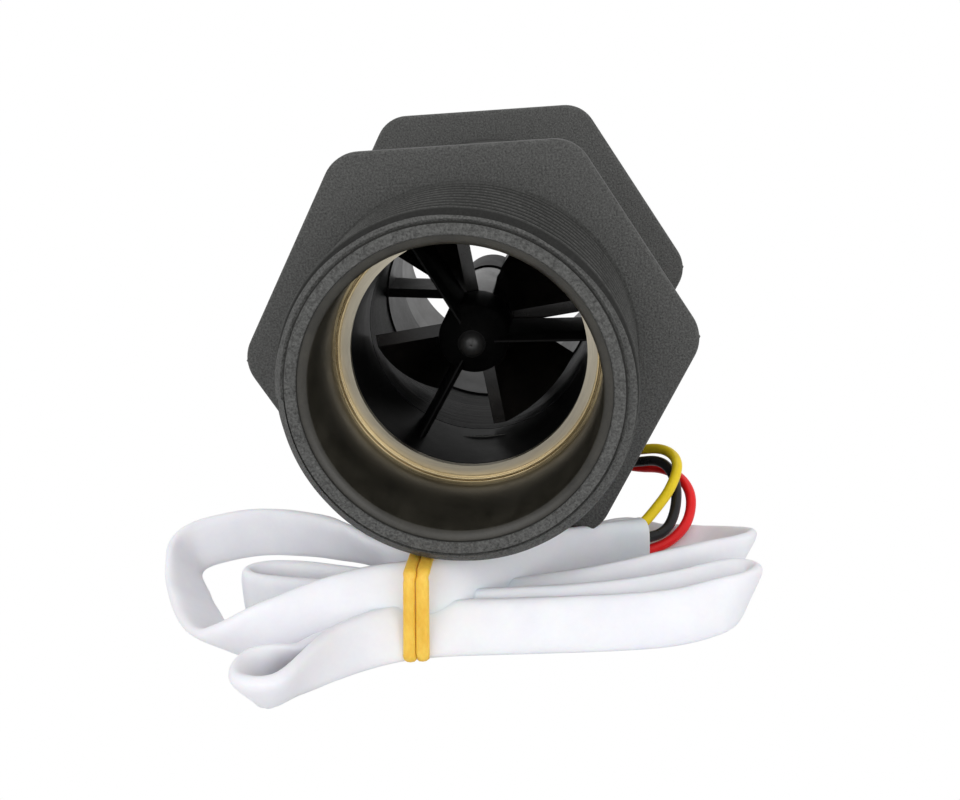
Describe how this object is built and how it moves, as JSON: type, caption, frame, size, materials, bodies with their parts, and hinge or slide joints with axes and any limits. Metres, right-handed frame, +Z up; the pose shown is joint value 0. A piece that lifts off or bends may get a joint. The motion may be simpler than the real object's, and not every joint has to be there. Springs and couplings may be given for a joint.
{
  "type": "turbine flow meter",
  "caption": "Inline turbine flow meter: black moulded body with male pipe threads, hexagon wrench grips, caged rotor, sensor box below and a folded flat white cable tied with a band.",
  "frame": {"origin": "on the pipe axis, in the plane of the inlet shoulder, where a fitting's face seats", "axes": "+Y along the pipe in the flow direction, +Z up with the sensor box below, +X to the right looking downstream"},
  "size_m": [0.0886, 0.1183, 0.066],
  "materials": {
    "charcoal_nylon": "matte, fine grain",
    "tan_steel": "satin, warm tint",
    "black_plastic": "gloss",
    "bush_plastic": "matte",
    "thrust_ceramic": "polished",
    "steel": "satin",
    "magnet_nickel": "polished",
    "gasket_rubber": "matte",
    "board_green": "satin",
    "chip_black": "matte",
    "white_pvc": "satin",
    "amber_rubber": "satin",
    "wire_yellow": "satin",
    "wire_black": "satin",
    "wire_red": "satin"
  },
  "bodies": {
    "meter": {"body": "charcoal_nylon", "snap_ring": "tan_steel", "retaining_washer": "tan_steel", "front_support": "black_plastic", "rear_support": "black_plastic", "measuring_sleeve": "black_plastic", "front_bush": "bush_plastic", "rear_bush": "bush_plastic", "thrust_washers": "thrust_ceramic", "cover_gasket": "gasket_rubber", "sensor_cover": "charcoal_nylon", "cover_screws": "steel", "circuit_board": "board_green", "hall_chip": "chip_black", "board_resistors": "chip_black", "cable_grommet": "gasket_rubber", "sleeve_lead": "white_pvc", "cable_hank": "white_pvc", "rubber_band": "amber_rubber", "wire_yellow": "wire_yellow", "wire_black": "wire_black", "wire_red": "wire_red"},
    "spinner": {"rotor": "black_plastic", "rotor_shaft": "steel", "rotor_magnets": "magnet_nickel"}
  },
  "joints": [
    {"name": "rotor_spin", "type": "hinge", "parent": "meter", "child": "spinner", "pos_m": [0, 0.026, 0], "axis": [0, 1, 0], "continuous": true}
  ]
}
